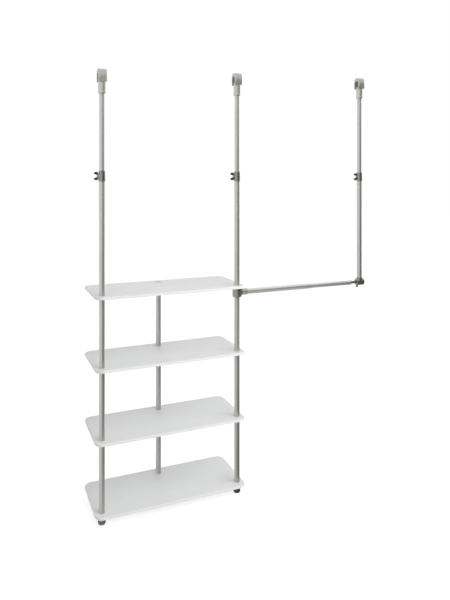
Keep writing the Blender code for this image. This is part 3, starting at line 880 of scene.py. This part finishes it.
# Bar clamp: a plated moulding that slides on the right front post just under the top shelf, with a satin
# sleeve that takes the hanging bar. A knurled thumb screw at the front locks it.
CLAMP_SOCKET_WALL = 2.2 * MM
CLAMP_ROUND = 2.0 * MM
CLAMP_WEB = 5.0 * MM
SHOULDER_RADIUS = 18 * MM
SHOULDER_END = 22.5 * MM
CLAMP_VOXEL = 0.6 * MM
ALONG_X = (0, 90, 0)


def drum(radius, half, edge):
    """A round block about Z with softened rims, half of it above the origin."""
    return turned(rounded([(0, half, 0), (radius, half, edge), (radius, -half, edge), (0, -half, 0)]))


clamp_low, clamp_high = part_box("bar_clamp")
bar_middle = middle_of("bar_tube")
clamp_axis = foot_of("post_right_high")
half_clamp = (clamp_high.z - clamp_low.z) / 2
clamp_radius = (clamp_high.y - clamp_low.y) / 2
clamp_end = clamp_high.x - clamp_axis.x
bar_seat = tube_fit + CLAMP_WEB
sleeve_radius = tube_fit + CLAMP_SOCKET_WALL
screw_rise = middle_of("clamp_screw").z - bar_middle.z
to_bar = at(ORIGIN, ALONG_X)
clamp_mesh = moulded(
    drum(clamp_radius, half_clamp, CLAMP_ROUND),
    (
        ("UNION", rod(SHOULDER_RADIUS, 0, SHOULDER_END), to_bar),
        ("UNION", rod(sleeve_radius, 0, clamp_end), to_bar),
        ("DIFFERENCE", rod(tube_fit, -2 * half_clamp, 2 * half_clamp), Matrix()),
        ("DIFFERENCE", rod(tube_fit, bar_seat, 2 * clamp_end), to_bar),
        ("DIFFERENCE", rod(SCREW_HOLE, 0, 2 * clamp_radius), at((0, 0, screw_rise), TO_FRONT)),
    ),
    CLAMP_VOXEL,
    ROUND_PASSES,
)
sleeve_start = SHOULDER_END + CLAMP_VOXEL
two_finishes(clamp_mesh, dark_plated, satin_nickel, lambda face: face.center.x > sleeve_start)
show("bar_clamp", clamp_mesh, at((clamp_axis.x, clamp_axis.y, bar_middle.z)), dark_plated)

# Thumb screws: turned steel with a knurled head, black-nickel plated like the feet. One locks the clamp on
# its post and one the tee on the bar's end pin.
THUMB_LENGTH = 10 * MM
THUMB_ROUND = 0.8 * MM
KNURLS = 20
KNURL_DEPTH = 0.45 * MM
KNURL_FADE = 6
KNURL_SIDES = 160


def thumb_screw(node, start, base):
    """A knurled head on a shank about Z; the shank runs from start to the head's base."""
    low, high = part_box(node)
    radius = (high.x - low.x) / 2
    tip = base + THUMB_LENGTH
    corners = [(0, tip, 0), (radius, tip, THUMB_ROUND), (radius, base, THUMB_ROUND), (SCREW_RADIUS, base, 0)]
    corners += [(SCREW_RADIUS, start, 0), (0, start, 0)]

    def knurl(reach, angle, height):
        """Grooves along the head, which fade out on its rounded ends."""
        share = max(0, (reach - SCREW_RADIUS) / (radius - SCREW_RADIUS))
        return KNURL_DEPTH * share**KNURL_FADE * (1 + math.cos(KNURLS * angle)) / 2

    return cut_in(turned(rounded(corners), KNURL_SIDES), knurl)


clamp_screw_mesh = thumb_screw("clamp_screw", tube_radius + SLIDE_GAP, clamp_radius + SEAT_GAP)
clamp_screw_place = at((clamp_axis.x, clamp_axis.y, bar_middle.z + screw_rise), TO_FRONT)
show("clamp_screw", clamp_screw_mesh, clamp_screw_place, black_nickel)

# Hanging bar: two tubes that telescope, the outer one in the clamp's sleeve. They are nickel plated like the
# posts, and polished brighter for the hangers to slide on. The guide bush is hidden inside.
BRIGHT_TONES = ("#dedfda", "#e8e9e5")
bright_nickel = polished_tube("bright_nickel_plate", BRIGHT_TONES)
for node, wall in (("bar_tube", TUBE_WALL), ("bar_inner_tube", INNER_WALL)):
    bar_place = at((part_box(node)[0].x, bar_middle.y, bar_middle.z), ALONG_X)
    show(node, tube(node, wall, "x"), bar_place, bright_nickel)

# Bar end pin: a plated moulding like the clamp. Its plug is pressed into the inner bar tube up to a flange,
# and its neck enters the tee.
PIN_RADIUS = 6.5 * MM
PIN_FLANGE = 3.0 * MM
PIN_ROUND = 0.8 * MM
PIN_FILLET = 2.0 * MM
pin_low, pin_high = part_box("bar_end_pin")
pin_length = pin_high.x - pin_low.x
pin_plug = inner_radius - INNER_WALL - SEAT_GAP
pin_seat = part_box("bar_inner_tube")[1].x + SEAT_GAP
flange_start = pin_seat - pin_low.x
flange_end = pin_seat + PIN_FLANGE - pin_low.x
pin_mesh = turned(
    rounded(
        [
            (0, pin_length, 0),
            (PIN_RADIUS, pin_length, PIN_ROUND),
            (PIN_RADIUS, flange_end, PIN_FILLET),
            (inner_radius, flange_end, PIN_ROUND),
            (inner_radius, flange_start, 0),
            (pin_plug, flange_start, 0),
            (pin_plug, 0, PIN_ROUND),
            (0, 0, 0),
        ]
    )
)
show("bar_end_pin", pin_mesh, at((pin_low.x, bar_middle.y, bar_middle.z), ALONG_X), dark_plated)

# Tee: a plated moulding, closed at its far end, that takes the bar's pin from the side and the hanger's
# outer tube from above. Its thumb screw hangs below the pin.
TEE_ROUND = 1.8 * MM
TEE_WEB = 2.0 * MM
TEE_NECK = 13.5 * MM
PIN_DEPTH = 18 * MM
TEE_VOXEL = 0.55 * MM
DOWN = (180, 0, 0)
tee_low, tee_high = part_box("tee")
tee_axis = foot_of("mast_tube_hanger")
half_tee = (tee_high.x - tee_low.x) / 2
tee_radius = (tee_high.y - tee_low.y) / 2
pin_fit = PIN_RADIUS + SEAT_GAP
neck_seat = pin_fit + TEE_WEB
neck_top = neck_seat + TEE_NECK
tee_screw_x = middle_of("tee_screw").x - tee_axis.x
to_neck = at(ORIGIN, TO_LEFT)
tee_mesh = moulded(
    drum(tee_radius, half_tee, TEE_ROUND),
    (
        ("UNION", rod(sleeve_radius, 0, neck_top), to_neck),
        ("DIFFERENCE", rod(tube_fit, neck_seat, 2 * neck_top), to_neck),
        ("DIFFERENCE", rod(pin_fit, -2 * half_tee, PIN_DEPTH - half_tee), Matrix()),
        ("DIFFERENCE", rod(SCREW_HOLE, 0, 2 * tee_radius), at((0, 0, tee_screw_x), ALONG_X)),
    ),
    TEE_VOXEL,
    ROUND_PASSES,
)
tee_mesh.transform(to_bar)
show("tee", tee_mesh, at((tee_axis.x, tee_axis.y, bar_middle.z)), dark_plated)
tee_screw_mesh = thumb_screw("tee_screw", PIN_RADIUS + SLIDE_GAP, tee_radius + SEAT_GAP)
tee_screw_place = at((tee_axis.x + tee_screw_x, tee_axis.y, bar_middle.z), DOWN)
show("tee_screw", tee_screw_mesh, tee_screw_place, black_nickel)

# Studio floor: white seamless paper. The camera and mirrors see it a little aglow, so that it is white but
# for the object's soft shadow, and it sends the object no more light than pale paper does.
FLOOR_SIZE = 40.0
PAPER_COLOUR = "#e8e8e8"
PAPER_SHADE = "#cbcbcb"
PAPER_GLOW = 0.70


def sheet(name, width, height, place):
    """A flat sheet in XY about its middle, which is no part of the object."""
    shape = bmesh.new()
    corners = ((1, 1), (-1, 1), (-1, -1), (1, -1))
    shape.faces.new([shape.verts.new((x * width / 2, y * height / 2, 0)) for x, y in corners])
    board = bpy.data.objects.new(name, as_mesh(shape))
    board.matrix_world = place
    bpy.context.scene.collection.objects.link(board)
    return board


def seen_white(tree):
    """A factor that is 1 for the rays that show the white background, and 0 for the light that it gives."""
    rays = add_node(tree, "ShaderNodeLightPath")
    mirrored = add_node(
        tree,
        "ShaderNodeMath",
        None,
        {0: rays.outputs["Is Glossy Ray"], 1: rays.outputs["Is Transmission Ray"]},
        operation="MAXIMUM",
    )
    return add_node(
        tree,
        "ShaderNodeMath",
        None,
        {0: rays.outputs["Is Camera Ray"], 1: mirrored.outputs["Value"]},
        operation="MAXIMUM",
    ).outputs["Value"]


paper = bpy.data.materials.new("white_paper")
paper.use_nodes = True
tree = paper.node_tree
tree.nodes.remove(tree.nodes["Principled BSDF"])
lit = add_node(tree, "ShaderNodeBsdfDiffuse", {"Color": linear(PAPER_COLOUR)})
shadowed = add_node(tree, "ShaderNodeBsdfDiffuse", {"Color": linear(PAPER_SHADE)})
glow = add_node(tree, "ShaderNodeEmission", {"Strength": PAPER_GLOW})
white = add_node(
    tree, "ShaderNodeAddShader", None, {0: shadowed.outputs["BSDF"], 1: glow.outputs["Emission"]}
)
chosen = add_node(
    tree,
    "ShaderNodeMixShader",
    None,
    {0: seen_white(tree), 1: lit.outputs["BSDF"], 2: white.outputs["Shader"]},
)
tree.links.new(chosen.outputs["Shader"], tree.nodes["Material Output"].inputs["Surface"])
floor = sheet("floor", FLOOR_SIZE, FLOOR_SIZE, Matrix())
floor.data.materials.append(paper)

# Cards: grey boards that only reflections meet, which draw the dark sides of the tubes. A flag stands at the
# right, a paler strip hangs under the bar, and a sheet on the floor grows darker from left to right.
CARD_TONE = 0.22
FLAG_SIZE = (6.0, 5.0)
FLAG_TOP = 2.65
FLAG_PLACE = (2.05, -1.8)
FLAG_LOOK = (-5.6, 2.1)
STRIP_TONE = 0.6
STRIP_SIZE = (0.6, 1.2)
STRIP_FROM_BAR = (0.15, -0.4, -0.3)
FLOOR_TONE = 0.76
FLOOR_CARD = (6.2, 6.0)
FLOOR_CARD_LEFT = -1.82
FLOOR_CARD_LIFT = 1.0 * MM
GRADE_START = 1.2
GRADE_WIDTH = 0.62
VIEW_YAW = math.radians(23.28)
view_along = Vector((math.sin(VIEW_YAW), math.cos(VIEW_YAW), 0))
view_right = Vector((math.cos(VIEW_YAW), -math.sin(VIEW_YAW), 0))


def by_view(right, along):
    """A level step to the right and away, as the camera sees them."""
    return view_right * right + view_along * along


def facing(place, target, front):
    """A place turned so that its front axis looks at a target."""
    return Matrix.Translation(place) @ (target - place).to_track_quat(front, "Y").to_matrix().to_4x4()


def card(board, left_tone, right_tone):
    """Gives a board a grey that only reflections meet, from one tone at its left part to another."""
    grey = bpy.data.materials.new(board.name)
    grey.use_nodes = True
    tree = grey.node_tree
    tree.nodes.remove(tree.nodes["Principled BSDF"])
    where = add_node(tree, "ShaderNodeTexCoord")
    across = add_node(tree, "ShaderNodeSeparateXYZ", None, {0: where.outputs["Object"]})
    edge = min(vertex.co.x for vertex in board.data.vertices) + GRADE_START
    grade = add_node(
        tree,
        "ShaderNodeMapRange",
        {"From Min": edge, "From Max": edge + GRADE_WIDTH, "To Min": left_tone, "To Max": right_tone},
        {"Value": across.outputs["X"]},
    )
    shine = add_node(tree, "ShaderNodeEmission", None, {"Strength": grade.outputs["Result"]})
    tree.links.new(shine.outputs["Emission"], tree.nodes["Material Output"].inputs["Surface"])
    board.data.materials.append(grey)
    board.visible_camera = False
    board.visible_diffuse = False
    board.visible_transmission = False
    board.visible_shadow = False


flag_place = by_view(*FLAG_PLACE)
flag_place.z = FLAG_TOP - FLAG_SIZE[1] / 2
flag_turn = facing(flag_place, flag_place + by_view(*FLAG_LOOK), "Z")
card(sheet("flag", *FLAG_SIZE, flag_turn), CARD_TONE, CARD_TONE)
strip_place = bar_middle + Vector(STRIP_FROM_BAR)
card(sheet("bar_strip", *STRIP_SIZE, at(strip_place)), STRIP_TONE, STRIP_TONE)
grade_place = by_view(FLOOR_CARD_LEFT + FLOOR_CARD[0] / 2, 0)
grade_place.z = FLOOR_CARD_LIFT
grade_turn = at(grade_place, (0, 0, -math.degrees(VIEW_YAW)))
card(sheet("floor_grade", *FLOOR_CARD, grade_turn), FLOOR_TONE, CARD_TONE)

# Soft box and room: one broad light stands high at the front right, and no reflection shows it. The white
# room gives the rest from all round, and the camera and mirrors see it as plain white.
SOFT_BOX_SIZE = (4.5, 3.5)
SOFT_BOX_POWER = 104.0
SOFT_BOX_PLACE = (2.6, -1.8)
SOFT_BOX_RISE = 1.8
ROOM_LIGHT = 0.55
WHITE = (1, 1, 1, 1)
soft_box = bpy.data.lights.new("soft_box", "AREA")
soft_box.shape = "RECTANGLE"
soft_box.size, soft_box.size_y = SOFT_BOX_SIZE
soft_box.energy = SOFT_BOX_POWER
soft_lamp = bpy.data.objects.new("soft_box", soft_box)
soft_lamp.visible_glossy = False
object_middle = sum((Vector(corner) for corner in cad_box), Vector()) / 2
lamp_place = object_middle + by_view(*SOFT_BOX_PLACE)
lamp_place.z += SOFT_BOX_RISE
soft_lamp.matrix_world = facing(lamp_place, object_middle, "-Z")
bpy.context.scene.collection.objects.link(soft_lamp)

room = bpy.data.worlds.new("white_room")
room.use_nodes = True
tree = room.node_tree
tree.nodes.remove(tree.nodes["Background"])
seen = add_node(tree, "ShaderNodeBackground", {"Color": WHITE, "Strength": 1.0})
light = add_node(tree, "ShaderNodeBackground", {"Color": WHITE, "Strength": ROOM_LIGHT})
chosen = add_node(
    tree,
    "ShaderNodeMixShader",
    None,
    {0: seen_white(tree), 1: light.outputs["Background"], 2: seen.outputs["Background"]},
)
tree.links.new(chosen.outputs["Shader"], tree.nodes["World Output"].inputs["Surface"])
bpy.context.scene.world = room

# Camera: a level view from the front left at about eye height, fitted to the photograph's shelves and posts.
# The lens is shifted down, so the posts stay upright.
PICTURE_HEIGHT = 600
FOCAL_PIXELS = 570
HORIZON_PIXEL = 180.2
EYE_FROM_LEFT_POST = Vector((-0.4852, -2.4758, 0))
EYE_LEVEL = 1.487
camera = bpy.data.objects.new("camera", bpy.data.cameras.new("camera"))
camera.data.lens = camera.data.sensor_width * FOCAL_PIXELS / PICTURE_HEIGHT
camera.data.shift_y = HORIZON_PIXEL / PICTURE_HEIGHT - 0.5
eye = foot_of("foot_left") + EYE_FROM_LEFT_POST
camera.location = (eye.x, eye.y, EYE_LEVEL)
camera.rotation_euler = (math.pi / 2, 0, -VIEW_YAW)
bpy.context.scene.collection.objects.link(camera)
bpy.context.scene.camera = camera
bpy.context.scene.view_settings.view_transform = "Standard"
